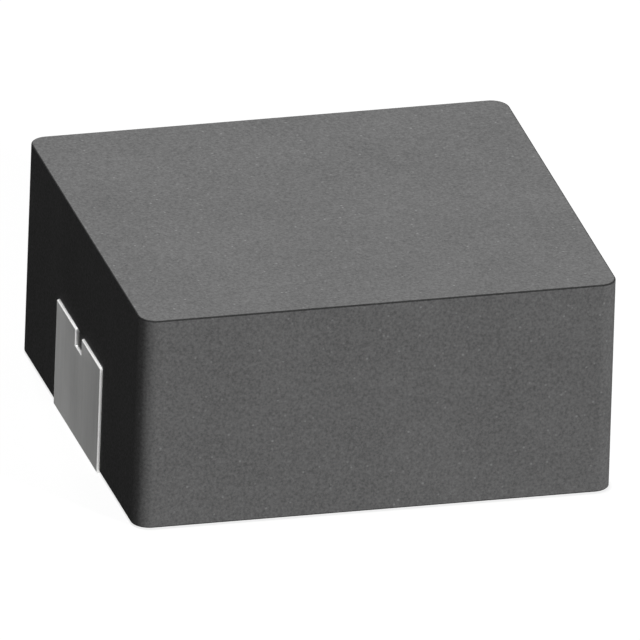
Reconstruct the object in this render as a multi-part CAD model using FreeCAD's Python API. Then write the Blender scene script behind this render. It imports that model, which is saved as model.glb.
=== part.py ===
import FreeCAD, Part
import math
import os

# Moulded power inductor, a shielded surface-mount coil, in millimetres.
# +X runs along the body's length, from the left terminal to the right one.
# +Y points to the back and +Z up. The origin is the middle of the footprint,
# and z = 0 is the plane of the two solder pads, the surface of the circuit board.

Vector = FreeCAD.Vector

# Moulded body
body_length = 10.85
body_width = 9.92
body_height = 5.00
corner_radius = 0.40

# Terminal strip, the same for both ends
strip_thickness = 0.10
strip_width = 3.72
strip_inner_bend = 0.02
strip_outer_bend = 0.04
plate_proud = 0.06
pad_standoff = 0.035
pad_length = 2.40
recess_side_gap = 0.02

# Slot that weakens the strip at its upper bend, so that it folds flat on the end face
slot_width = 0.55
slot_down_plate = 0.40
slot_into_body = 0.30

# Weld arm of the strip, inside the body
arm_end_cover = 0.35
tongue_coil_gap = 0.20

# Coil of flat wire wound on edge, in the powder that is pressed round it
turns = 6
wire_width = 1.25
turn_gap = 0.06
side_wall = 0.81
end_room = 1.27
coil_cover = 0.90
enamel_film = 0.02
tail_film = 0.04
tail_inner_bend = 0.10
tail_lift_margin = 0.10

# Levels
base_level = pad_standoff
middle_level = base_level + body_height / 2
tongue_level = middle_level - strip_thickness / 2

# Places along X, as distances from the middle
end_face = body_length / 2
plate_face = end_face + plate_proud

# Sizes of the coil that follow from the body and its walls
coil_outer_radius = min(body_width / 2 - side_wall, body_length / 2 - end_room)
coil_inner_radius = coil_outer_radius - wire_width
coil_middle_radius = coil_outer_radius - wire_width / 2
coil_height = body_height - 2 * coil_cover
wire_thickness = (coil_height - turns * turn_gap) / (turns + 1)
turn_pitch = wire_thickness + turn_gap
climb_angle = math.atan2(turn_pitch, 2 * math.pi * coil_middle_radius)
tongue_inner_end = coil_outer_radius + tongue_coil_gap
arm_outer_edge = end_face - arm_end_cover

# Names of the two ends, and the side of the origin that each lies on
LEFT = -1
RIGHT = 1

# How far a cutting block reaches past the face that it opens
OVERRUN = 1.0


def block(x_from, x_to, y_from, y_to, z_from, z_to):
    """Square block between two planes on each axis, given in either order."""
    corner = Vector(min(x_from, x_to), min(y_from, y_to), min(z_from, z_to))
    return Part.makeBox(abs(x_to - x_from), abs(y_to - y_from), abs(z_to - z_from), corner)


def side_shift(points, distance):
    """Points of the run of straight legs that lies the given distance to the left."""
    shifted = []
    for number, point in enumerate(points):
        before = (point - points[number - 1]).normalize() if number > 0 else None
        after = (points[number + 1] - point).normalize() if number < len(points) - 1 else None
        before = before or after
        after = after or before
        left_before = Vector(-before.z, 0, before.x)
        left_after = Vector(-after.z, 0, after.x)
        mitre = left_before + left_after
        shifted.append(point + mitre * (2 * distance / mitre.dot(mitre)))
    return shifted


def rounded_edges(points, radii):
    """Lines from point to point, with an arc of its own radius at each inner corner."""
    edges = []
    start = points[0]
    for number, radius in enumerate(radii, 1):
        corner = points[number]
        back = (points[number - 1] - corner).normalize()
        ahead = (points[number + 1] - corner).normalize()
        half_angle = back.getAngle(ahead) / 2
        run = radius / math.tan(half_angle)
        middle = (back + ahead).normalize() * (radius / math.sin(half_angle) - radius)
        arc_start = corner + back * run
        arc_end = corner + ahead * run
        edges.append(Part.LineSegment(start, arc_start).toShape())
        edges.append(Part.Arc(arc_start, corner + middle, arc_end).toShape())
        start = arc_end
    edges.append(Part.LineSegment(start, points[-1]).toShape())
    return edges


def bent_strip(centre_line, thickness, inner_bend, outer_bend, y_from, y_to):
    """Strip bent along a run of points in the XZ plane, with its width along Y.
    Each bend has the inner radius on its hollow side and the outer one on its round side."""
    half = thickness / 2
    left_side = side_shift(centre_line, half)
    right_side = side_shift(centre_line, -half)
    left_radii = []
    right_radii = []
    for before, corner, after in zip(centre_line, centre_line[1:], centre_line[2:]):
        leg_in = corner - before
        leg_out = after - corner
        turns_left = leg_in.x * leg_out.z - leg_in.z * leg_out.x > 0
        left_radii.append(inner_bend if turns_left else outer_bend)
        right_radii.append(outer_bend if turns_left else inner_bend)
    edges = rounded_edges(left_side, left_radii)
    edges.append(Part.LineSegment(left_side[-1], right_side[-1]).toShape())
    edges += rounded_edges(right_side[::-1], right_radii[::-1])
    edges.append(Part.LineSegment(right_side[0], left_side[0]).toShape())
    profile = Part.Face(Part.Wire(edges))
    profile.translate(Vector(0, y_from, 0))
    return profile.extrude(Vector(0, y_to - y_from, 0))


def terminal(side):
    """Tinned copper strip: tongue and weld arm in the body, plate on the end face, pad below.
    The folds are coined, so they are sharper outside than the strip is thick."""
    half = strip_thickness / 2
    plate_middle = plate_face - half
    centre_line = [
        Vector(side * tongue_inner_end, 0, tongue_level),
        Vector(side * plate_middle, 0, tongue_level),
        Vector(side * plate_middle, 0, half),
        Vector(side * (plate_face - pad_length), 0, half),
    ]
    strip = bent_strip(centre_line, strip_thickness, strip_inner_bend, strip_outer_bend,
                       -strip_width / 2, strip_width / 2)
    arm = block(side * tongue_inner_end, side * arm_outer_edge, 0, -coil_outer_radius,
                tongue_level - half, tongue_level + half)
    slot = block(side * (end_face - slot_into_body), side * (plate_face + OVERRUN),
                 -slot_width / 2, slot_width / 2,
                 middle_level - slot_down_plate, middle_level + OVERRUN)
    return strip.fuse(arm).cut(slot).removeSplitter()


def coil_tail(side, film=0.0):
    """End of the wire, from the last turn to the weld arm: it leaves the front of the coil
    along its tangent, clears the turns, bends to the middle plane and lies flat on the arm.
    A film above zero gives the room that the enamelled wire takes in the powder."""
    wire_level = tongue_level + side * (coil_height - wire_thickness) / 2
    weld_level = tongue_level + side * (strip_thickness + wire_thickness) / 2
    clear_of_turns = math.sqrt(coil_outer_radius ** 2 - coil_inner_radius ** 2) + tail_lift_margin
    climb = side * clear_of_turns * math.tan(climb_angle)
    centre_line = [
        Vector(0, 0, wire_level),
        Vector(side * clear_of_turns, 0, wire_level + climb),
        Vector(side * tongue_inner_end, 0, weld_level),
        Vector(side * (arm_outer_edge + film), 0, weld_level),
    ]
    inner_bend = tail_inner_bend - film
    outer_bend = tail_inner_bend + wire_thickness + film
    return bent_strip(centre_line, wire_thickness + 2 * film, inner_bend, outer_bend,
                      -coil_outer_radius - film, -coil_inner_radius + film)


def coil_winding():
    """Flat wire wound on edge in whole turns, so that both ends leave at the front, one to
    each terminal. The section stays square to the wire, which climbs one pitch a turn."""
    start_level = tongue_level - (coil_height - wire_thickness) / 2
    helix = Part.makeHelix(turn_pitch, turns * turn_pitch, coil_middle_radius)
    helix.rotate(Vector(0, 0, 0), Vector(0, 0, 1), -90)
    helix.translate(Vector(0, 0, start_level))
    start = Vector(0, -coil_middle_radius, start_level)
    across = Vector(0, wire_width / 2, 0)
    up = Vector(-math.sin(climb_angle), 0, math.cos(climb_angle)) * (wire_thickness / 2)
    section = Part.makePolygon([
        start - across - up,
        start + across - up,
        start + across + up,
        start - across + up,
        start - across - up,
    ])
    wound = Part.Wire(helix.Edges).makePipeShell([section], True, True)
    return wound.fuse([coil_tail(LEFT), coil_tail(RIGHT)])


def coil_room():
    """Ring-shaped room that the enamelled coil takes in the powder, with its two tails.
    The tails are bent after the winding, so their room is a little wider than the ring."""
    height = coil_height + 2 * enamel_film
    floor = Vector(0, 0, tongue_level - height / 2)
    ring = Part.makeCylinder(coil_outer_radius + enamel_film, height, floor)
    ring = ring.cut(Part.makeCylinder(coil_inner_radius - enamel_film, height, floor))
    return ring.fuse([coil_tail(LEFT, tail_film), coil_tail(RIGHT, tail_film)])


def strip_recess(side):
    """Shallow bed for the folded strip, in the end face and in the base."""
    half_width = strip_width / 2 + recess_side_gap
    bed_face = plate_face - strip_thickness
    pad_bed_end = plate_face - pad_length - recess_side_gap
    end_bed = block(side * bed_face, side * (end_face + OVERRUN), -half_width, half_width,
                    base_level - OVERRUN, middle_level)
    base_bed = block(side * pad_bed_end, side * (end_face + OVERRUN), -half_width, half_width,
                     base_level - OVERRUN, strip_thickness)
    return end_bed.fuse(base_bed)


def moulded_body(terminals):
    """Pressed powder block with upright edges rounded and flat, sharp-edged top and base."""
    body = block(-end_face, end_face, -body_width / 2, body_width / 2,
                 base_level, base_level + body_height)
    upright = [edge for edge in body.Edges if abs(edge.tangentAt(0).z) > 0.5]
    body = body.makeFillet(corner_radius, upright)
    hollows = [coil_room(), strip_recess(LEFT), strip_recess(RIGHT)]
    return body.cut(hollows + terminals)


def as_one_solid(name, shape):
    """The single valid solid of a piece, with its size printed."""
    if not shape.isValid() or len(shape.Solids) != 1:
        raise ValueError(f"{name} has {len(shape.Solids)} solids, valid: {shape.isValid()}")
    solid = shape.Solids[0]
    print(f"{name}: {solid.Volume:.4f} mm3, {len(solid.Faces)} faces")
    return solid


terminal_left = terminal(LEFT)
terminal_right = terminal(RIGHT)
pieces = {
    "moulded_body": moulded_body([terminal_left, terminal_right]),
    "coil_winding": coil_winding(),
    "terminal_left": terminal_left,
    "terminal_right": terminal_right,
}

os.makedirs("parts", exist_ok=True)
for node, shape in pieces.items():
    as_one_solid(node, shape).exportStep(f"parts/{node}.step")
print(f"wire {wire_width:.2f} x {wire_thickness:.3f} mm, coil {2 * coil_outer_radius:.2f} mm across")
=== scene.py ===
# %% [markdown]
# # A moulded power inductor
#
# The part is a nearly square block of iron powder and resin, pressed round a coil of flat copper
# wire. A tinned copper strip comes out of each end at half height, is folded down the end face
# and under the base, and ends as a solder pad.
#
# The lesson makes four pieces, two strips, a coil and a block, and then the floor and the light.
# The block is 10.85 mm long, so every mesh is made in millimetres, where Blender's tools work
# well, and is scaled to metres when it is finished.

# %% Load the frame
import math
import bmesh
import bpy
from mathutils import Matrix, Vector


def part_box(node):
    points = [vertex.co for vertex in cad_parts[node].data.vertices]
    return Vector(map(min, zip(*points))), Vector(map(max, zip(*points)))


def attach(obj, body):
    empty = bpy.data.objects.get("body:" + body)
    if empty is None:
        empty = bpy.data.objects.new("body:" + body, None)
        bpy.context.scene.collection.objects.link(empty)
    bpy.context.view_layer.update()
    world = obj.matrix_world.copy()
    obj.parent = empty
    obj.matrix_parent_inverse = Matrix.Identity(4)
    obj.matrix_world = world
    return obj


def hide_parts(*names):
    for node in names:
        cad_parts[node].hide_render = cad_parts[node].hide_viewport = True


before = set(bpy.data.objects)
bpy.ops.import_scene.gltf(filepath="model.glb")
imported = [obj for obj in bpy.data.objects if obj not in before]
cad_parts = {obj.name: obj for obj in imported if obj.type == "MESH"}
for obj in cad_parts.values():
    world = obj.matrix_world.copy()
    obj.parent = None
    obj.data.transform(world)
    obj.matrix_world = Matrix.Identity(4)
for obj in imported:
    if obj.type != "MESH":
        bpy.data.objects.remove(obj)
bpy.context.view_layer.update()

MM = 0.001
print("frame nodes:", ", ".join(sorted(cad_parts)))

# %% [markdown]
# ## Reading the sizes
#
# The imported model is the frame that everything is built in. Its sizes could be typed in again,
# but then the two could drift apart. So what a bounding box shows is read from the frame, and
# only what it doesn't show, such as a radius or a sheet's thickness, is written as a number.

# %% The box of the block
def box_in_mm(node):
    """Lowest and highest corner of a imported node, in millimetres."""
    return [Vector(corner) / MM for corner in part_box(node)]


body_low, body_high = box_in_mm("moulded_body")
END_FACE, SIDE_FACE = body_high.x, body_high.y
BASE, TOP = body_low.z, body_high.z
print(f"block {2 * END_FACE:.2f} x {2 * SIDE_FACE:.2f} x {TOP - BASE:.2f} mm")

# %% [markdown]
# ## The camera
#
# The picture of the part is a parallel projection: edges that are parallel on the block stay
# parallel in the picture. A camera with a very long lens comes near that, but an orthographic
# one is exact, and its scale is simply the width that it sees. Its direction was worked out
# from the directions of the block's three edges. It stands to the left of the front, about a
# quarter of the way up, and leans over by two degrees.

# %% Camera
VIEW_AZIMUTH = math.radians(-15.56)
VIEW_ELEVATION = math.radians(24.60)
VIEW_ROLL = math.radians(1.95)
PIXELS_PER_MM = 45.54
IMAGE_PIXELS = 640
BLOCK_ABOVE_CENTRE = 5.9
CAMERA_DISTANCE = 60.0


def object_from(name, data):
    """Object that holds a mesh, a curve, a lamp or a camera, linked to the scene."""
    made = bpy.data.objects.new(name, data)
    bpy.context.scene.collection.objects.link(made)
    return made


def turned_camera():
    """Camera's right, up and back directions, as the columns of a rotation."""
    back = Vector((math.sin(VIEW_AZIMUTH) * math.cos(VIEW_ELEVATION),
                   -math.cos(VIEW_AZIMUTH) * math.cos(VIEW_ELEVATION),
                   math.sin(VIEW_ELEVATION)))
    level_right = Vector((0, 0, 1)).cross(back).normalized()
    level_up = back.cross(level_right)
    right = level_right * math.cos(VIEW_ROLL) + level_up * math.sin(VIEW_ROLL)
    return Matrix((right, back.cross(right), back)).transposed()


camera_turn = turned_camera()
camera_up, camera_back = camera_turn.col[1], camera_turn.col[2]
block_middle = (body_low + body_high) / 2
aim = block_middle - camera_up * (BLOCK_ABOVE_CENTRE / PIXELS_PER_MM)

camera_data = bpy.data.cameras.new("camera")
camera_data.type = "ORTHO"
camera_data.ortho_scale = IMAGE_PIXELS / PIXELS_PER_MM * MM
camera_data.clip_start = 0.001
camera_data.clip_end = 2.0
camera = object_from("camera", camera_data)
camera.matrix_world = (Matrix.Translation((aim + camera_back * CAMERA_DISTANCE) * MM)
                       @ camera_turn.to_4x4())
bpy.context.scene.camera = camera
print(f"the camera sees {camera_data.ortho_scale / MM:.2f} mm across")

# %% [markdown]
# ## Folding a sheet
#
# The terminal is stamped flat and then folded, and the ends of the wire are bent the same way.
# A Simple Deform modifier bends a sheet too, but over its whole length and not in tight folds.
# So the folds are worked out. `fold_rows` walks along a run of straight legs and gives rows
# across the sheet. A row is a pair of places, one on each face, and at a bend they turn about
# centres of their own, because the hollow side and the round side each have their own radius.

# %% Rows along a folded sheet
BEND_STEPS = 6
STRAIGHT = 1e-6


def left_of(heading):
    """Direction to the left of a heading in the XZ plane."""
    return Vector((-heading.z, 0, heading.x))


def fold_rows(points, thickness, hollow_radius, round_radius):
    """Rows of a sheet bent along points in the XZ plane, as (left place, right place)."""
    corners = [Vector(point) for point in points]
    headings = [(after - before).normalized() for before, after in zip(corners, corners[1:])]
    offsets = [left_of(heading) * (thickness / 2) for heading in headings]
    rows = [(corners[0] + offsets[0], corners[0] - offsets[0])]
    for number, corner in enumerate(corners[1:-1]):
        heading, after = headings[number], headings[number + 1]
        turn = math.atan2(heading.x * after.z - heading.z * after.x, heading.dot(after))
        mitre = offsets[number] + offsets[number + 1]
        mitre *= thickness ** 2 / 2 / mitre.dot(mitre)
        if abs(turn) < STRAIGHT:
            rows.append((corner + mitre, corner - mitre))
            continue
        arcs = []
        for face_side in (1, -1):
            radius = hollow_radius if face_side * turn > 0 else round_radius
            begin = corner + mitre * face_side - heading * (radius * math.tan(abs(turn) / 2))
            centre = begin + left_of(heading) * math.copysign(radius, turn)
            arcs.append([centre + Matrix.Rotation(-turn * step / BEND_STEPS, 3, "Y")
                         @ (begin - centre) for step in range(BEND_STEPS + 1)])
        rows += zip(*arcs)
    rows.append((corners[-1] + offsets[-1], corners[-1] - offsets[-1]))
    return rows


one_fold = fold_rows([(0, 0, 0), (1, 0, 0), (1, 0, 1)],
                     thickness=0.1, hollow_radius=0.02, round_radius=0.04)
print(f"a sheet with one fold has {len(one_fold)} rows")

# %% [markdown]
# ## A closed sheet from rows and columns
#
# Rows along the sheet and columns across it make a grid, and the slot and the side arm are
# fields of that grid without or with metal. A flat face with a Solidify modifier would need the
# slot cut first, and the round side of its folds would be too wide, because these are pressed
# sharp. Here each filled field gets its two faces, and a wall wherever the next field is empty,
# so the sheet is closed from the start and its thickness is exact.

# %% A folded sheet
def folded_sheet(rows, columns, holds):
    """Closed bmesh of a folded sheet. columns are places along Y, and holds(place, column)
    says whether the sheet has metal at a place between two rows and two columns. The walls
    where the metal was cut get the second material."""
    shape = bmesh.new()
    grid = {}

    def vertex(row, column, face):
        key = (row, column, face)
        if key not in grid:
            place = rows[row][face]
            grid[key] = shape.verts.new((place.x, columns[column], place.z))
        return grid[key]

    def filled(row, column):
        if not (0 <= row < len(rows) - 1 and 0 <= column < len(columns) - 1):
            return False
        return holds(sum((*rows[row], *rows[row + 1]), Vector()) / 4, column)

    for row in range(len(rows) - 1):
        for column in range(len(columns) - 1):
            if not filled(row, column):
                continue
            ring = [(row, column), (row + 1, column), (row + 1, column + 1), (row, column + 1)]
            shape.faces.new([vertex(*corner, 0) for corner in ring])
            shape.faces.new([vertex(*corner, 1) for corner in reversed(ring)])
            beside = [(row, column - 1), (row + 1, column), (row, column + 1), (row - 1, column)]
            for one, two, neighbour in zip(ring, ring[1:] + ring[:1], beside):
                if not filled(*neighbour):
                    wall = shape.faces.new([vertex(*one, 0), vertex(*one, 1),
                                            vertex(*two, 1), vertex(*two, 0)])
                    wall.material_index = 1
    return shape


plain_sheet = folded_sheet(one_fold, [0, 1], lambda place, column: True)
print(f"closed, the sheet with one fold has {len(plain_sheet.faces)} faces")
plain_sheet.free()

# %% [markdown]
# ## The two terminals
#
# Seen flat, the terminal is a strip with a side arm at its inner end, which carries the weld to
# the wire, and a slot across the upper bend, which weakens the strip so that it folds flat on
# the end face. It is folded twice, over the edge of its bed and under the base. It could be
# joined from boxes, but then each fold would have to be added by itself. One sheet over one run
# of legs gives both folds, the slot and the arm at once, and the other end is the same sheet
# with the sign of X changed.

# %% Sizes of the strip
LEFT, RIGHT = -1, 1
STRIP_THICKNESS = 0.10
STRIP_INNER_BEND = 0.02
STRIP_OUTER_BEND = 0.04
SLOT_HALF_WIDTH = 0.275
SLOT_DOWN_PLATE = 0.40
SLOT_INTO_BODY = 0.30
ARM_END_COVER = 0.35
TONGUE_COIL_GAP = 0.20

strip_low, strip_high = box_in_mm("terminal_left")
STRIP_HALF_WIDTH = strip_high.y
STRIP_TOP = strip_high.z
PLATE_FACE = -strip_low.x
PAD_END = -strip_high.x
ARM_TIP = -strip_low.y
ARM_EDGE = END_FACE - ARM_END_COVER
TONGUE_END = ARM_TIP + TONGUE_COIL_GAP
TONGUE_LEVEL = STRIP_TOP - STRIP_THICKNESS / 2
print(f"strip {2 * STRIP_HALF_WIDTH:.2f} x {STRIP_THICKNESS:.2f} mm")
print(f"plate {PLATE_FACE - END_FACE:.2f} mm proud, pad {PLATE_FACE - PAD_END:.2f} mm long")

# %% Blank and folds of a terminal
def terminal_shape(side):
    """Folded strip of one end, as a bmesh in millimetres."""
    half = STRIP_THICKNESS / 2
    plate_middle = PLATE_FACE - half
    slot_start = END_FACE - SLOT_INTO_BODY
    slot_end = STRIP_TOP - SLOT_DOWN_PLATE
    legs = [(TONGUE_END, TONGUE_LEVEL), (ARM_EDGE, TONGUE_LEVEL), (slot_start, TONGUE_LEVEL),
            (plate_middle, TONGUE_LEVEL), (plate_middle, slot_end), (plate_middle, half),
            (PAD_END, half)]
    rows = fold_rows([(side * x, 0, z) for x, z in legs],
                     STRIP_THICKNESS, STRIP_INNER_BEND, STRIP_OUTER_BEND)
    columns = [-ARM_TIP, -STRIP_HALF_WIDTH, -SLOT_HALF_WIDTH, SLOT_HALF_WIDTH, STRIP_HALF_WIDTH]
    arm_column, slot_column = 0, 2

    def holds(place, column):
        if column == arm_column:
            return abs(place.x) < ARM_EDGE and place.z > slot_end
        return column != slot_column or abs(place.x) < slot_start or place.z < slot_end

    return folded_sheet(rows, columns, holds)


bare_strip = terminal_shape(LEFT)
print(f"folded strip: {len(bare_strip.verts)} corners, {len(bare_strip.faces)} faces")
bare_strip.free()

# %% [markdown]
# ## Edges that catch the light
#
# A stamped edge is never quite sharp, and its tiny round is what shows as a bright line round
# the plate. A Bevel modifier rounds the edges of an object. Here the bmesh is still at hand, so
# the bevel is called on it directly, and the faces that it makes get the second material. On the
# strip that is a near-white burnished tin, partly the brighter metal of a cut edge and partly a
# painted highlight. The folds get it too, because the folding tool pressed them, and so does the
# ledge that faces up outside the block, where the near-white is a painted highlight.

# %% Burnish and soften
STAMPED_EDGE = 0.008
SHARP_EDGE = math.radians(50)
FLAT = 0.98


def burnish_and_highlight_folds(shape):
    """Gives the near-white burnished finish to the bends, and to what faces up outside the block
    as a painted highlight.
    """
    for face in shape.faces:
        middle = face.calc_center_median()
        bent = max(abs(part) for part in face.normal) < FLAT
        # Faces that look up outside the block get the near-white finish as a painted highlight.
        up_facing_highlight = face.normal.z > FLAT and abs(middle.x) > END_FACE - SLOT_INTO_BODY
        if bent or up_facing_highlight:
            face.material_index = 1


def soften(shape, width, steps):
    """Rounds every sharp edge of a bmesh, and gives the round the second material."""
    sharp = [edge for edge in shape.edges
             if len(edge.link_faces) == 2 and edge.calc_face_angle(0) > SHARP_EDGE]
    bmesh.ops.bevel(shape, geom=sharp, offset=width, offset_type="OFFSET", segments=steps,
                    profile=0.5, affect="EDGES", clamp_overlap=True, material=1)
    print(f"{len(sharp)} edges rounded by {width} mm")


print(f"edges sharper than {math.degrees(SHARP_EDGE):.0f} degrees get a round")

# %% [markdown]
# ## A helper for node trees
#
# Materials, the sky and Geometry Nodes groups are all trees of nodes and wires. They could be
# drawn by hand in the node editor, but such a tree can't be read as text. Here each tree is a
# table of nodes and a list of wires, short enough to follow with a finger. A finish also gets a
# node that turns metres into millimetres, so that the scale of a pattern says how many of its
# spots lie in a millimetre.

# %% Node trees from a table
IN_MM = {
    "place": ("ShaderNodeTexCoord", {}),
    "millimetres": ("ShaderNodeMapping", {"Scale": (1 / MM, 1 / MM, 1 / MM)}),
    "out": ("ShaderNodeOutputMaterial", {}),
}


def fill_tree(tree, nodes, wires):
    """Makes nodes given as {name: (type, {property or socket: value})} and joins them by wires
    given as (node, socket, node, socket)."""
    tree.nodes.clear()
    for name, (kind, values) in nodes.items():
        node = tree.nodes.new(kind)
        node.name = node.label = name
        for key, value in values.items():
            if hasattr(node, key):
                setattr(node, key, value)
            else:
                node.inputs[key].default_value = value
    for start, out_socket, end, in_socket in wires:
        tree.links.new(tree.nodes[start].outputs[out_socket], tree.nodes[end].inputs[in_socket])


def shader(name, nodes, wires):
    """Material with the given shader tree."""
    material = bpy.data.materials.new(name)
    material.use_nodes = True
    fill_tree(material.node_tree, nodes, wires)
    print(f"{name}: {len(nodes)} nodes, {len(wires)} wires")
    return material


def finish(name, nodes, wires):
    """Material of a piece. Its patterns read the node millimetres, and its shader is the node
    surface."""
    return shader(name, IN_MM | nodes, [
        ("place", "Object", "millimetres", "Vector"),
        ("surface", "BSDF", "out", "Surface"),
        *wires,
    ])


print("every finish starts with the nodes", ", ".join(IN_MM))

# %% [markdown]
# ## The tinned strip
#
# Matte tin on rolled copper is a plain grey metal with a broad sheen. Rolling leaves very fine
# lines along the strip, and they turn with it at each fold. They could be drawn on an unwrapped
# UV map. But the tongue, the plate and the pad all run in the XZ plane, so one noise that is
# stretched along X and Z puts the lines the right way on every leg, with no map at all.
#
# Burnished tin, at the cut edges and the folds, is much brighter and a little smoother. Its
# near-white colour is partly that burnish and partly a painted highlight, and the ledge that faces
# up gets it too. It comes from the same recipe with other values.

# %% Finish of the tinned strip
LINES_ACROSS, LINES_ALONG = 14.0, 0.4
LINE_SHARE = 0.6
LINE_DEPTH = 0.002
STAINS_PER_MM = 1.6
TIN_LIGHT, TIN_DULL = (0.45, 0.45, 0.445, 1.0), (0.29, 0.29, 0.285, 1.0)
# Near-white: partly the brighter metal of burnished edges, partly a painted highlight.
BURNISH_AND_HIGHLIGHT_LIGHT, BURNISH_AND_HIGHLIGHT_DULL = (0.98, 0.98, 0.97, 1.0), (0.95, 0.95, 0.94, 1.0)


def tin_finish(name, light, dull, metal, smoothest, roughest):
    """Rolled tin between two colours and two roughnesses, with lines along the strip."""
    return finish(name, {
        "rolled": ("ShaderNodeMapping", {"Scale": (LINES_ALONG, LINES_ACROSS, LINES_ALONG)}),
        "lines": ("ShaderNodeTexNoise", {"Scale": 1.0, "Detail": 3.0, "Roughness": 0.6}),
        "stain": ("ShaderNodeTexNoise", {"Scale": STAINS_PER_MM, "Detail": 4.0,
                                         "Roughness": 0.6}),
        "tone": ("ShaderNodeMix", {"data_type": "FLOAT", "Factor": LINE_SHARE}),
        "colour": ("ShaderNodeMix", {"data_type": "RGBA", "A": light, "B": dull}),
        "rough": ("ShaderNodeMapRange", {"To Min": smoothest, "To Max": roughest}),
        "relief": ("ShaderNodeBump", {"Strength": 0.15, "Distance": LINE_DEPTH * MM}),
        "surface": ("ShaderNodeBsdfPrincipled", {"Metallic": metal, "Specular IOR Level": 0.15}),
    }, [
        ("millimetres", "Vector", "rolled", "Vector"),
        ("rolled", "Vector", "lines", "Vector"),
        ("millimetres", "Vector", "stain", "Vector"),
        ("stain", "Fac", "tone", "A"),
        ("lines", "Fac", "tone", "B"),
        ("tone", "Result", "colour", "Factor"),
        ("colour", "Result", "surface", "Base Color"),
        ("lines", "Fac", "rough", "Value"),
        ("rough", "Result", "surface", "Roughness"),
        ("lines", "Fac", "relief", "Height"),
        ("relief", "Normal", "surface", "Normal"),
    ])


tinned_copper = tin_finish("tinned_copper", TIN_LIGHT, TIN_DULL,
                           metal=0.32, smoothest=0.52, roughest=0.62)
# Edges, folds and the up-facing ledge get this near-white finish, partly burnish and partly
# painted highlight.
burnished_tin_and_highlight = tin_finish("burnished_tin_and_highlight", BURNISH_AND_HIGHLIGHT_LIGHT, BURNISH_AND_HIGHLIGHT_DULL,
                           metal=0.65, smoothest=0.42, roughest=0.50)

# %% [markdown]
# ## Putting a piece in its place
#
# A bmesh becomes a mesh, and the mesh gets an object and its materials. Smooth shading that
# breaks at sharp edges then lets a fold of six steps look round. Finer steps would do that too,
# but with many more triangles. `seat` comes last for each piece: it scales the mesh to metres,
# hides the imported node that the piece takes the place of, and hangs the piece on the body it
# moves with.

# %% Make the two terminals
def mesh_from(name, shape):
    """Mesh from a bmesh, with faces outwards."""
    bmesh.ops.recalc_face_normals(shape, faces=shape.faces[:])
    mesh = bpy.data.meshes.new(name)
    shape.to_mesh(mesh)
    shape.free()
    return mesh


def shade(piece, sharp_over):
    """Smooth shading that breaks at edges sharper than the given degrees."""
    piece.data.shade_smooth()
    piece.data.set_sharp_from_angle(angle=math.radians(sharp_over))


def seat(piece, node):
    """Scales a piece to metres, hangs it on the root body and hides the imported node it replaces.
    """
    piece.data.transform(Matrix.Scale(MM, 4))
    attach(piece, "root")
    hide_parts(node)
    triangles = sum(len(face.vertices) - 2 for face in piece.data.polygons)
    print(f"{piece.name}: {triangles} triangles")


for node, side in (("terminal_left", LEFT), ("terminal_right", RIGHT)):
    strip = terminal_shape(side)
    bmesh.ops.recalc_face_normals(strip, faces=strip.faces[:])
    # Bends and the up-facing ledge get the near-white finish, partly burnish and partly a painted
    # highlight.
    burnish_and_highlight_folds(strip)
    soften(strip, STAMPED_EDGE, steps=2)
    terminal = object_from(f"{node}_strip", mesh_from(node, strip))
    terminal.data.materials.append(tinned_copper)
    terminal.data.materials.append(burnished_tin_and_highlight)
    shade(terminal, sharp_over=40)
    seat(terminal, node)

# %% [markdown]
# ## The coil
#
# The winding is one flat wire, wound on edge like a loose spring. It could be a stack of rings,
# but a real coil is one wire from end to end, so it is drawn as one line: in from the left arm,
# six turns up, and out to the right arm. The thickness of the wire is what six turns and their
# gaps leave of the coil's height.

# %% Sizes of the wire
TURNS = 6
WIRE_WIDTH = 1.25
TURN_GAP = 0.06
COIL_COVER = 0.90
TAIL_INNER_BEND = 0.10
TAIL_LIFT_MARGIN = 0.10

COIL_OUTER_RADIUS = ARM_TIP
COIL_INNER_RADIUS = COIL_OUTER_RADIUS - WIRE_WIDTH
COIL_MIDDLE_RADIUS = COIL_OUTER_RADIUS - WIRE_WIDTH / 2
COIL_HEIGHT = TOP - BASE - 2 * COIL_COVER
WIRE_THICKNESS = (COIL_HEIGHT - TURNS * TURN_GAP) / (TURNS + 1)
TURN_PITCH = WIRE_THICKNESS + TURN_GAP
CLIMB_ANGLE = math.atan2(TURN_PITCH, 2 * math.pi * COIL_MIDDLE_RADIUS)
print(f"wire {WIRE_WIDTH} x {WIRE_THICKNESS:.3f} mm, {TURNS} turns, one every {TURN_PITCH:.3f} mm")

# %% [markdown]
# ## The line of the wire
#
# A turn is a circle that climbs by one pitch, so its points come from a sine and a cosine. The
# two ends leave the turns straight at the front, bend to half height and lie flat on the weld
# arms. They could be pieces of their own, but then a seam would show across the wire. They are
# bent as a sheet is folded, so `fold_rows` serves again, and the middle of each row is a point
# of the line.

# %% Points of the line
STEPS_PER_TURN = 72


def tail_legs(side):
    """Corner points of one end of the wire, from the coil to the weld arm."""
    wire_level = TONGUE_LEVEL + side * (COIL_HEIGHT - WIRE_THICKNESS) / 2
    weld_level = TONGUE_LEVEL + side * (STRIP_THICKNESS + WIRE_THICKNESS) / 2
    clear = math.sqrt(COIL_OUTER_RADIUS ** 2 - COIL_INNER_RADIUS ** 2) + TAIL_LIFT_MARGIN
    climb = side * clear * math.tan(CLIMB_ANGLE)
    return [(0, 0, wire_level), (side * clear, 0, wire_level + climb),
            (side * TONGUE_END, 0, weld_level), (side * ARM_EDGE, 0, weld_level)]


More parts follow.
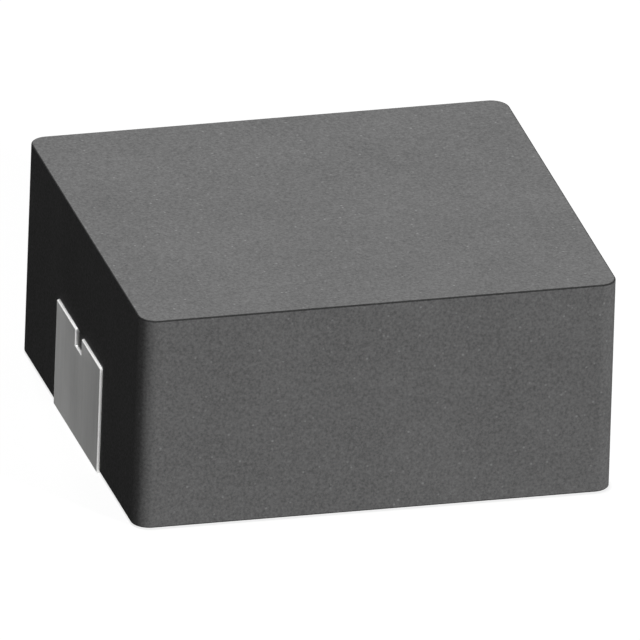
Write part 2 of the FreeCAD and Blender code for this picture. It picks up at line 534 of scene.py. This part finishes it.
def wire_line():
    """Points along the middle of the whole wire."""
    tails = {}
    for side in (LEFT, RIGHT):
        rows = fold_rows(tail_legs(side), WIRE_THICKNESS,
                         TAIL_INNER_BEND, TAIL_INNER_BEND + WIRE_THICKNESS)
        line = [(left + right) / 2 for left, right in rows]
        tails[side] = [Vector((place.x, -COIL_MIDDLE_RADIUS, place.z)) for place in line[1:]]
    start_level = TONGUE_LEVEL - (COIL_HEIGHT - WIRE_THICKNESS) / 2
    turns = []
    for step in range(TURNS * STEPS_PER_TURN + 1):
        angle = 2 * math.pi * step / STEPS_PER_TURN
        turns.append(Vector((COIL_MIDDLE_RADIUS * math.sin(angle),
                             -COIL_MIDDLE_RADIUS * math.cos(angle),
                             start_level + TURN_PITCH * step / STEPS_PER_TURN)))
    return tails[LEFT][::-1] + turns + tails[RIGHT]


wire_places = wire_line()
wire_length = sum((after - before).length for before, after in zip(wire_places, wire_places[1:]))
print(f"the wire has {len(wire_places)} points and is {wire_length:.0f} mm long")

# %% [markdown]
# ## Running the wire along its line
#
# A curve's own bevel can take its section from a second curve object. In Geometry Nodes the
# section is part of the tree: Curve to Mesh runs it along the line, and its sizes are inputs of
# the group that are easy to change. Left to itself a section rolls along a spiral. With the
# curve's normals set to Z up it stays upright, so the wire lies flat through the turns and the
# bends. The section is a rectangle with rounded corners, as drawn wire has.

# %% The tree that sweeps a flat wire
def flat_wire_tree():
    """Geometry Nodes group that sweeps a flat wire with rounded edges along a curve."""
    tree = bpy.data.node_groups.new("flat_wire", "GeometryNodeTree")
    tree.interface.new_socket("Line", in_out="INPUT", socket_type="NodeSocketGeometry")
    for label in ("Width", "Thickness", "Edge radius"):
        tree.interface.new_socket(label, in_out="INPUT", socket_type="NodeSocketFloat")
    tree.interface.new_socket("Finish", in_out="INPUT", socket_type="NodeSocketMaterial")
    tree.interface.new_socket("Wire", in_out="OUTPUT", socket_type="NodeSocketGeometry")
    fill_tree(tree, {
        "given": ("NodeGroupInput", {}),
        "upright": ("GeometryNodeSetCurveNormal", {"mode": "Z_UP"}),
        "section": ("GeometryNodeCurvePrimitiveQuadrilateral", {}),
        "rounded": ("GeometryNodeFilletCurve", {"mode": "POLY", "Count": 3}),
        "sweep": ("GeometryNodeCurveToMesh", {"Fill Caps": True}),
        "real": ("GeometryNodeRealizeInstances", {}),
        "painted": ("GeometryNodeSetMaterial", {}),
        "result": ("NodeGroupOutput", {}),
    }, [
        ("given", "Line", "upright", "Curve"),
        ("given", "Width", "section", "Width"),
        ("given", "Thickness", "section", "Height"),
        ("section", "Curve", "rounded", "Curve"),
        ("given", "Edge radius", "rounded", "Radius"),
        ("upright", "Curve", "sweep", "Curve"),
        ("rounded", "Curve", "sweep", "Profile Curve"),
        ("sweep", "Mesh", "real", "Geometry"),
        ("real", "Geometry", "painted", "Geometry"),
        ("given", "Finish", "painted", "Material"),
        ("painted", "Geometry", "result", "Wire"),
    ])
    return tree


flat_wire = flat_wire_tree()
flat_wire_inputs = {item.name: item.identifier for item in flat_wire.interface.items_tree
                    if item.in_out == "INPUT"}
print("inputs of the tree:", ", ".join(flat_wire_inputs))

# %% [markdown]
# ## The enamelled wire
#
# The wire is bright copper under a clear amber enamel. The enamel could be a shell of its own,
# but it is thinner than a hair. So the metal gets a clear coat, and the amber is in its colour.
# The wire is sealed in the block and shows only when someone takes the model apart.

# %% Finish of the wire
DRAWN_PER_MM = 3.0
COPPER_LIGHT, COPPER_DEEP = (0.62, 0.24, 0.09, 1.0), (0.48, 0.16, 0.05, 1.0)

enamelled_copper = finish("enamelled_copper", {
    "drawn": ("ShaderNodeTexNoise", {"Scale": DRAWN_PER_MM, "Detail": 3.0}),
    "colour": ("ShaderNodeMix", {"data_type": "RGBA", "A": COPPER_LIGHT, "B": COPPER_DEEP}),
    "rough": ("ShaderNodeMapRange", {"To Min": 0.22, "To Max": 0.36}),
    "surface": ("ShaderNodeBsdfPrincipled", {"Metallic": 0.9, "Coat Weight": 0.6}),
}, [
    ("millimetres", "Vector", "drawn", "Vector"),
    ("drawn", "Fac", "colour", "Factor"),
    ("colour", "Result", "surface", "Base Color"),
    ("drawn", "Fac", "rough", "Value"),
    ("rough", "Result", "surface", "Roughness"),
])

# %% [markdown]
# ## From a curve to a mesh
#
# The line becomes a curve of straight runs, with the tree as its modifier. The modifier could
# stay on the curve, but a model that leaves Blender is made of plain meshes. So what the tree
# makes is copied to an object of its own, and the curve has then done its work.

# %% Make the coil
WIRE_EDGE_RADIUS = 0.06


def evaluated_mesh(source):
    """Plain mesh of an object as its modifiers leave it."""
    depsgraph = bpy.context.evaluated_depsgraph_get()
    return bpy.data.meshes.new_from_object(source.evaluated_get(depsgraph))


line = bpy.data.curves.new("wire_line", "CURVE")
line.dimensions = "3D"
spline = line.splines.new("POLY")
spline.points.add(len(wire_places) - 1)
for point, place in zip(spline.points, wire_places):
    point.co = (*place, 1.0)
wire_guide = object_from("wire_guide", line)
sweep = wire_guide.modifiers.new("flat_wire", "NODES")
sweep.node_group = flat_wire
for label, value in (("Width", WIRE_WIDTH), ("Thickness", WIRE_THICKNESS),
                     ("Edge radius", WIRE_EDGE_RADIUS), ("Finish", enamelled_copper)):
    sweep[flat_wire_inputs[label]] = value
coil = object_from("flat_wire_coil", evaluated_mesh(wire_guide))
bpy.data.objects.remove(wire_guide)
shade(coil, sharp_over=50)
reach = [[vertex.co[axis] for vertex in coil.data.vertices] for axis in range(3)]
print("coil measures", " x ".join(f"{max(places) - min(places):.2f}" for places in reach), "mm")
seat(coil, "coil_winding")

# %% [markdown]
# ## The moulding compound
#
# Iron powder and resin, pressed and cured, is a dull mid grey. Close up it is a packed bed of
# grains a few hundredths of a millimetre across: most are coated dark, a few lie open and are
# lighter, and between them are small pits. Faint clouds come from uneven resin.
#
# An image of such a surface would be one more file and would stretch at the corners. Noise on
# object coordinates runs through the block as the real grain does: a fine one for the grains, a
# wide one for the clouds, and Voronoi cells, of which a few are picked, for the open grains. The
# roughness stays high, because a surface like this has almost no gloss.

# %% Finish of the pressed powder
POWDER_GREY = 0.178
POWDER_SPREAD = 0.36
# Painted shade: the rim round is a quarter as bright as the block, a dark line along the edges.
PAINTED_RIM_SHADE = POWDER_GREY / 4
NOISE_LOW, NOISE_HIGH = 0.30, 0.70
GRAINS_PER_MM = 17.0
CLOUDS_PER_MM = 0.55
CLOUD_SHARE = 0.14
OPEN_GRAINS_PER_MM = 11.0
OPEN_SHARE = 0.07
OPEN_EDGE, OPEN_CORE = 0.38, 0.18
OPEN_BRIGHTER = 1.7
ROUGHNESS_SPREAD = 0.06


def grey(level):
    """Neutral colour of the given linear level."""
    return (level, level, level, 1.0)


def powder_finish(name, level, roughness, grain_depth):
    """Grainy compound around one linear grey level, with grains of a depth in millimetres."""
    return finish(name, {
        "grain": ("ShaderNodeTexNoise", {"Scale": GRAINS_PER_MM, "Detail": 4.0, "Roughness": 0.7}),
        "clouds": ("ShaderNodeTexNoise", {"Scale": CLOUDS_PER_MM, "Detail": 3.0,
                                          "Roughness": 0.55}),
        "mixed": ("ShaderNodeMix", {"data_type": "FLOAT", "Factor": CLOUD_SHARE}),
        "tone": ("ShaderNodeMapRange", {"From Min": NOISE_LOW, "From Max": NOISE_HIGH,
                                        "To Min": level * (1 - POWDER_SPREAD),
                                        "To Max": level * (1 + POWDER_SPREAD)}),
        "cells": ("ShaderNodeTexVoronoi", {"Scale": OPEN_GRAINS_PER_MM}),
        "cell_number": ("ShaderNodeSeparateColor", {}),
        "picked": ("ShaderNodeMapRange", {"From Min": 1 - OPEN_SHARE, "From Max": 1.0}),
        "round": ("ShaderNodeMapRange", {"From Min": OPEN_EDGE, "From Max": OPEN_CORE}),
        "open_grains": ("ShaderNodeMath", {"operation": "MULTIPLY"}),
        "colour": ("ShaderNodeMix", {"data_type": "RGBA", "B": grey(level * OPEN_BRIGHTER)}),
        "rough": ("ShaderNodeMapRange", {"To Min": roughness - ROUGHNESS_SPREAD,
                                         "To Max": roughness + ROUGHNESS_SPREAD}),
        "relief": ("ShaderNodeBump", {"Strength": 0.35, "Distance": grain_depth * MM}),
        "surface": ("ShaderNodeBsdfPrincipled", {"Specular IOR Level": 0.01}),
    }, [
        ("millimetres", "Vector", "grain", "Vector"),
        ("millimetres", "Vector", "clouds", "Vector"),
        ("millimetres", "Vector", "cells", "Vector"),
        ("grain", "Fac", "mixed", "A"),
        ("clouds", "Fac", "mixed", "B"),
        ("mixed", "Result", "tone", "Value"),
        ("tone", "Result", "colour", "A"),
        ("cells", "Color", "cell_number", "Color"),
        ("cell_number", "Red", "picked", "Value"),
        ("cells", "Distance", "round", "Value"),
        ("picked", "Result", "open_grains", 0),
        ("round", "Result", "open_grains", 1),
        ("open_grains", "Value", "colour", "Factor"),
        ("colour", "Result", "surface", "Base Color"),
        ("grain", "Fac", "rough", "Value"),
        ("rough", "Result", "surface", "Roughness"),
        ("grain", "Fac", "relief", "Height"),
        ("relief", "Normal", "surface", "Normal"),
    ])


pressed_powder = powder_finish("pressed_iron_powder", POWDER_GREY,
                               roughness=0.88, grain_depth=0.006)
# The rims get the same grainy finish at a quarter of the grey, as painted shade along the edges.
painted_shade_rim = powder_finish("painted_shade_rim", PAINTED_RIM_SHADE, roughness=0.70, grain_depth=0.003)

# %% [markdown]
# ## The pressed block
#
# The block comes out of a die with round upright corners. Its top and base meet the sides in a
# crisp line where the punches met the die. A cube with a Bevel modifier would round all twelve
# edges alike. So the outline is drawn with its arcs and raised to a prism, and then only the rims
# get a very narrow round. That round is painted a quarter as bright as the block, as painted
# shade: a dark line along the edges, where the round would otherwise catch light.

# %% The prism and its rims in painted shade
CORNER_RADIUS = 0.40
CORNER_STEPS = 14
RIM_WIDTH = 0.03


def block_outline():
    """Corner-rounded rectangle of the block, seen from above."""
    outline = []
    for quarter in range(4):
        start = quarter * math.pi / 2
        corner_x = (END_FACE - CORNER_RADIUS) * (1 if quarter in (0, 3) else -1)
        corner_y = (SIDE_FACE - CORNER_RADIUS) * (1 if quarter in (0, 1) else -1)
        for step in range(CORNER_STEPS + 1):
            angle = start + math.pi / 2 * step / CORNER_STEPS
            outline.append((corner_x + CORNER_RADIUS * math.cos(angle),
                            corner_y + CORNER_RADIUS * math.sin(angle)))
    return outline


def prism(outline, low, high):
    """Closed bmesh between two levels over an outline."""
    shape = bmesh.new()
    base = [shape.verts.new((x, y, low)) for x, y in outline]
    top = [shape.verts.new((x, y, high)) for x, y in outline]
    shape.faces.new(base[::-1])
    shape.faces.new(top)
    for number in range(len(outline)):
        after = (number + 1) % len(outline)
        shape.faces.new([base[number], base[after], top[after], top[number]])
    return shape


block = prism(block_outline(), BASE, TOP)
bmesh.ops.recalc_face_normals(block, faces=block.faces[:])
soften(block, RIM_WIDTH, steps=3)
body = object_from("pressed_block", mesh_from("pressed_block", block))
body.data.materials.append(pressed_powder)
# The second material is the rim round in painted shade.
body.data.materials.append(painted_shade_rim)
print(f"{body.name}: {len(body.data.polygons)} faces before the cuts")

# %% [markdown]
# ## The rooms in the block
#
# The powder is pressed round the coil and round the roots of the strips, and the strips lie in
# shallow beds. From outside only the beds and the slots show, and a block left whole inside
# would look the same. But it would run through the coil as soon as someone takes the model
# apart. So the rooms are made by the same functions that made the pieces, with a film of room
# for the enamel, and they fit by themselves.

# %% Rooms and beds to cut
ENAMEL_FILM = 0.02
TAIL_FILM = 0.04
BED_SIDE_GAP = 0.02
OVERRUN = 1.0
RING_STEPS = 96


def coil_ring():
    """Ring-shaped room round the wound turns."""
    shape = bmesh.new()
    half = COIL_HEIGHT / 2 + ENAMEL_FILM
    section = [(COIL_OUTER_RADIUS + ENAMEL_FILM, -half), (COIL_OUTER_RADIUS + ENAMEL_FILM, half),
               (COIL_INNER_RADIUS - ENAMEL_FILM, half), (COIL_INNER_RADIUS - ENAMEL_FILM, -half)]
    rings = []
    for step in range(RING_STEPS):
        angle = 2 * math.pi * step / RING_STEPS
        rings.append([shape.verts.new((radius * math.cos(angle), radius * math.sin(angle),
                                       TONGUE_LEVEL + level)) for radius, level in section])
    for step in range(RING_STEPS):
        here, there = rings[step], rings[(step + 1) % RING_STEPS]
        for corner in range(len(section)):
            after = (corner + 1) % len(section)
            shape.faces.new([here[corner], there[corner], there[after], here[after]])
    return shape


def tail_room(side):
    """Room for one bent end of the wire."""
    legs = tail_legs(side)
    legs[-1] = (side * (ARM_EDGE + TAIL_FILM), 0, legs[-1][2])
    rows = fold_rows(legs, WIRE_THICKNESS + 2 * TAIL_FILM,
                     TAIL_INNER_BEND - TAIL_FILM, TAIL_INNER_BEND + WIRE_THICKNESS + TAIL_FILM)
    columns = [-COIL_OUTER_RADIUS - TAIL_FILM, -COIL_INNER_RADIUS + TAIL_FILM]
    return folded_sheet(rows, columns, lambda place, column: True)


def strip_beds(side):
    """Beds for the plate in the end face and for the pad in the base."""
    half = STRIP_HALF_WIDTH + BED_SIDE_GAP
    outside = side * (END_FACE + OVERRUN)
    beds = []
    for inner_end, level in ((PLATE_FACE - STRIP_THICKNESS, STRIP_TOP),
                             (PAD_END - BED_SIDE_GAP, STRIP_THICKNESS)):
        low_x, high_x = sorted((side * inner_end, outside))
        outline = [(low_x, -half), (high_x, -half), (high_x, half), (low_x, half)]
        beds.append(prism(outline, BASE - OVERRUN, level))
    return beds


cutters = [coil_ring()]
for side in (LEFT, RIGHT):
    cutters += [tail_room(side), *strip_beds(side), terminal_shape(side)]
print(f"{len(cutters)} shapes to cut out of the block")

# %% [markdown]
# ## Cutting the block
#
# Each shape is taken away by a Boolean modifier. The rooms meet and overlap, so joining them to
# one cutter would be a row of booleans in itself. The exact solver is slower than the fast one,
# but it copes with faces that lie in one plane, and here a strip's root lies flush with its bed.

# %% Cut the block
def apply_modifiers(piece):
    """Gives a mesh object its evaluated mesh and takes the modifiers off."""
    mesh = evaluated_mesh(piece)
    piece.modifiers.clear()
    piece.data = mesh


cut_objects = []
for number, cutter in enumerate(cutters):
    tool = object_from(f"cutter_{number}", mesh_from(f"cutter_{number}", cutter))
    cut = body.modifiers.new(f"cut_{number}", "BOOLEAN")
    cut.operation = "DIFFERENCE"
    cut.solver = "EXACT"
    cut.object = tool
    cut_objects.append(tool)
apply_modifiers(body)
for tool in cut_objects:
    bpy.data.objects.remove(tool)
print(f"{body.name}: {len(body.data.polygons)} faces after {len(cut_objects)} cuts")

# %% [markdown]
# ## Cleaning up after the cuts
#
# A boolean leaves doubled corners and needle-thin faces where two shapes nearly meet. They don't
# show in a render, but an exported mesh with faces of no area is poor work. Merging the corners
# and dissolving the edges that lie inside a flat face takes them away. Remeshing would too, but
# it would lose the crisp rims. Weighted normals then keep the large faces flat in the shading
# beside the round corners.

# %% Tidy the cut faces
SAME_PLACE = 1e-4
SAME_PLANE = math.radians(0.2)
QUAD = 4

block = bmesh.new()
block.from_mesh(body.data)
bmesh.ops.remove_doubles(block, verts=block.verts, dist=SAME_PLACE)
bmesh.ops.dissolve_limit(block, angle_limit=SAME_PLANE, use_dissolve_boundaries=False,
                         verts=block.verts, edges=block.edges, delimit={"MATERIAL"})
bmesh.ops.triangulate(block, faces=[face for face in block.faces if len(face.verts) > QUAD])
thin = sum(face.calc_area() < SAME_PLACE ** 2 for face in block.faces)
print(f"{body.name}: {len(block.faces)} faces after the clean-up, {thin} of them without area")
block.to_mesh(body.data)
block.free()
shade(body, sharp_over=35)
weights = body.modifiers.new("flat_faces_first", "WEIGHTED_NORMAL")
weights.keep_sharp = True
apply_modifiers(body)
seat(body, "moulded_body")

# %% [markdown]
# ## The floor
#
# The part stands on its pads on a plain pale floor. A floor lit until it is white would throw
# that light back and brighten the shaded end of the block. So the floor asks Light Path what
# kind of ray meets it. To the camera and in reflections it is white, with the part's shadow on
# it, and for the light that it throws back it is dim. It works like a light table: it shows its
# upper side only and lets a lamp through from below, for a look from underneath.

# %% Floor
FLOOR_HALF = 0.25
FLOOR_SHADED = 0.25
FLOOR_GLOW = 0.79
FLOOR_BOUNCE = 0.05

floor_shape = bmesh.new()
bmesh.ops.create_grid(floor_shape, x_segments=1, y_segments=1, size=FLOOR_HALF)
floor = object_from("floor", mesh_from("floor", floor_shape))
floor.data.materials.append(shader("pale_floor", {
    "ray": ("ShaderNodeLightPath", {}),
    "mirrored": ("ShaderNodeMath", {"operation": "MAXIMUM"}),
    "seen": ("ShaderNodeMath", {"operation": "MAXIMUM"}),
    "lit": ("ShaderNodeBsdfDiffuse", {"Color": grey(FLOOR_SHADED)}),
    "glow": ("ShaderNodeEmission", {"Color": grey(1.0), "Strength": FLOOR_GLOW}),
    "pale": ("ShaderNodeAddShader", {}),
    "bounce": ("ShaderNodeBsdfDiffuse", {"Color": grey(FLOOR_BOUNCE)}),
    "choice": ("ShaderNodeMixShader", {}),
    "side": ("ShaderNodeNewGeometry", {}),
    "let_through": ("ShaderNodeMath", {"operation": "MAXIMUM"}),
    "clear": ("ShaderNodeBsdfTransparent", {}),
    "one_sided": ("ShaderNodeMixShader", {}),
    "out": ("ShaderNodeOutputMaterial", {}),
}, [
    ("ray", "Is Glossy Ray", "mirrored", 0),
    ("ray", "Is Transmission Ray", "mirrored", 1),
    ("ray", "Is Camera Ray", "seen", 0),
    ("mirrored", "Value", "seen", 1),
    ("lit", "BSDF", "pale", 0),
    ("glow", "Emission", "pale", 1),
    ("seen", "Value", "choice", "Fac"),
    ("bounce", "BSDF", "choice", 1),
    ("pale", "Shader", "choice", 2),
    ("side", "Backfacing", "let_through", 0),
    ("ray", "Is Shadow Ray", "let_through", 1),
    ("let_through", "Value", "one_sided", "Fac"),
    ("choice", "Shader", "one_sided", 1),
    ("clear", "BSDF", "one_sided", 2),
    ("one_sided", "Shader", "out", "Surface"),
]))
print(f"floor {2 * FLOOR_HALF / MM:.0f} mm square")

# %% [markdown]
# ## The lamps
#
# The left end of the block is in deep shade, while the strip's ledge and cut edges on it shine.
# One broad lamp can't do both. So a small lamp hangs straight above and a weak one stands
# straight in front, both in line with the end face: they pass along it and light only what
# stands out of it. The broad key lamp stands low at the front right and rounds the corners. A
# weak lamp behind keeps the back readable, and one under the floor shines up for a look at the
# pads. Area lamps would fall off across the scene. Sun lamps light it evenly, and their spread
# makes the shadows soft.

# %% Lamps
def far_lamp(name, strength, spread, toward):
    """Sun lamp that stands in the given direction, with its spread in degrees."""
    light = bpy.data.lights.new(name, "SUN")
    light.energy = strength
    light.angle = math.radians(spread)
    lamp = object_from(name, light)
    lamp.rotation_euler = Vector(toward).to_track_quat("Z", "Y").to_euler()
    print(f"{name}: strength {strength}, spread {spread} degrees")


far_lamp("top_lamp", 2.25, spread=2, toward=(-0.01, 0.00, 1.00))
far_lamp("key_lamp", 1.76, spread=8, toward=(0.60, -0.80, 0.25))
far_lamp("front_lamp", 0.42, spread=2, toward=(-0.01, -1.00, 0.05))
far_lamp("back_lamp", 1.20, spread=8, toward=(0.10, 0.95, 0.15))
far_lamp("table_lamp", 1.30, spread=8, toward=(0.00, 0.00, -1.00))

# %% [markdown]
# ## The sky
#
# The surroundings are white, as in a bright studio. A backdrop could stand round the part, but a
# world colour does the same without a mesh. A white world at full strength would wash out every
# shade. So, like the floor, it is white only to the camera and in reflections, and lights the
# part weakly. The Standard view then shows each colour as it is written.

# %% Sky
SKY_FILL = 0.045

world = bpy.data.worlds.new("studio")
world.use_nodes = True
bpy.context.scene.world = world
fill_tree(world.node_tree, {
    "ray": ("ShaderNodeLightPath", {}),
    "mirrored": ("ShaderNodeMath", {"operation": "MAXIMUM"}),
    "seen": ("ShaderNodeMath", {"operation": "MAXIMUM"}),
    "strength": ("ShaderNodeMapRange", {"To Min": SKY_FILL, "To Max": 1.0}),
    "white": ("ShaderNodeBackground", {"Color": grey(1.0)}),
    "out": ("ShaderNodeOutputWorld", {}),
}, [
    ("ray", "Is Glossy Ray", "mirrored", 0),
    ("ray", "Is Transmission Ray", "mirrored", 1),
    ("ray", "Is Camera Ray", "seen", 0),
    ("mirrored", "Value", "seen", 1),
    ("seen", "Value", "strength", "Value"),
    ("strength", "Result", "white", "Strength"),
    ("white", "Background", "out", "Surface"),
])
bpy.context.scene.view_settings.view_transform = "Standard"
print(f"the sky lights the part at {SKY_FILL} of white")
